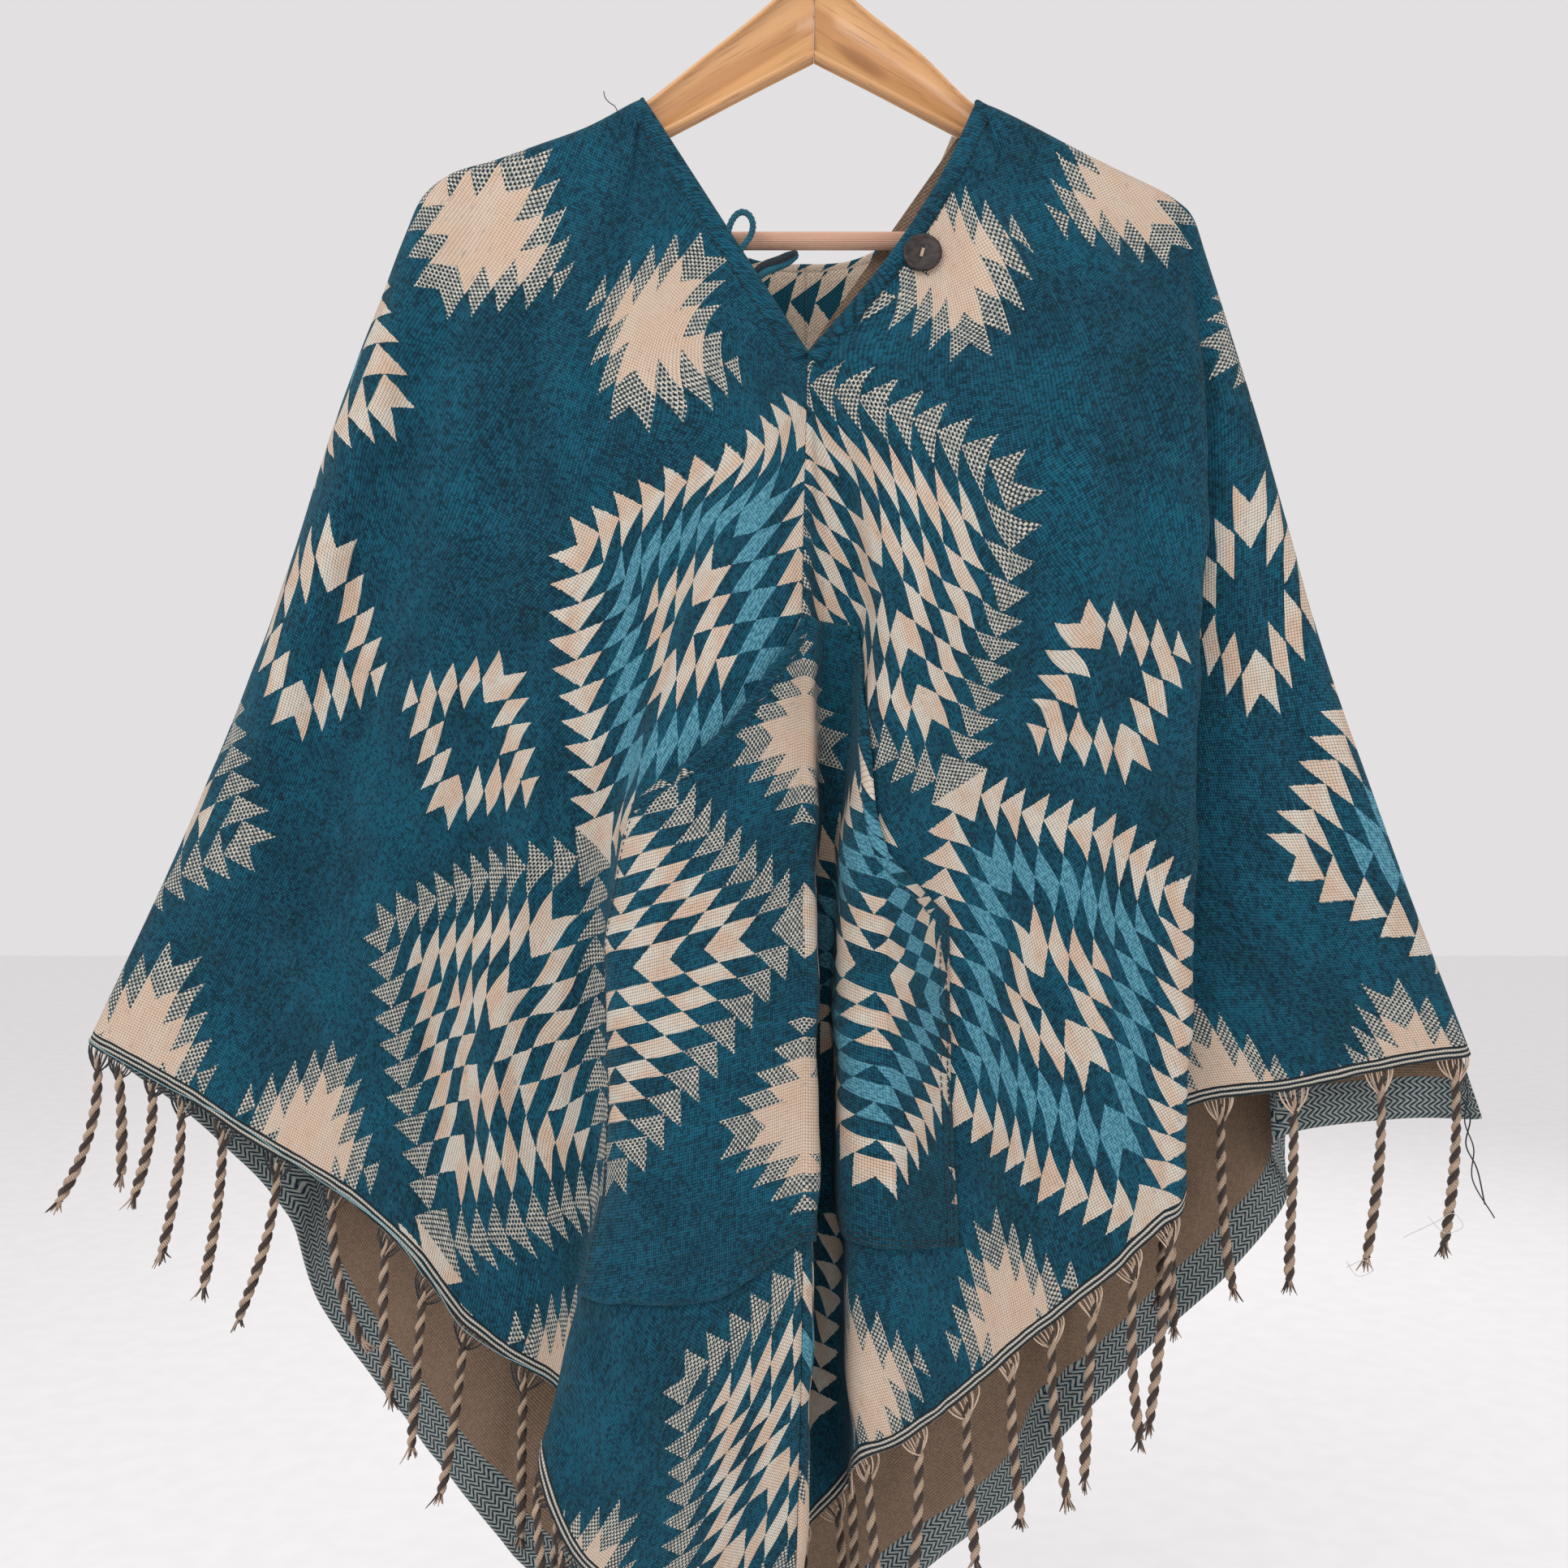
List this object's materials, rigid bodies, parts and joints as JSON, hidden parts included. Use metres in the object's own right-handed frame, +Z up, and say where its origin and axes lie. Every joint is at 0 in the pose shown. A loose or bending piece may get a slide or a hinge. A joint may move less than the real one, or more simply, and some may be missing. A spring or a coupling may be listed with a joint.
{
  "type": "hooded poncho on a wooden hanger",
  "caption": "Hooded poncho of woven blanket cloth with a V neck, front pocket, button and loop, and a fringed hem, hanging on a flat wooden hanger.",
  "frame": {"origin": "inside top of the hanger's hook, where a rail carries it", "axes": "+Z up, -Y the front of the garment, +X to the right as seen from the front"},
  "size_m": [0.8221, 0.1405, 1.1071],
  "materials": {
    "cloth": "napped acrylic blanket weave, teal with cream woven motifs",
    "tassel_yarn": "twisted dark brown and beige yarn",
    "loop_cord": "twisted teal yarn cord",
    "arm_wood": "satin varnish",
    "bar_wood": "ribbed, matt",
    "hook_steel": "polished",
    "button": "horn look, satin"
  },
  "bodies": {
    "root": {"front_left": "cloth", "front_right": "cloth", "back_left": "cloth", "back_right": "cloth", "pocket": "cloth", "hood_left": "cloth", "hood_right": "cloth", "fringe_left": "tassel_yarn", "fringe_right": "tassel_yarn", "hanger_arm_left": "arm_wood", "hanger_arm_right": "arm_wood", "hanger_bar": "bar_wood", "hanger_hook": "hook_steel", "button": "button", "button_loop": "loop_cord", "button_loop_tail": "loop_cord"}
  },
  "joints": []
}
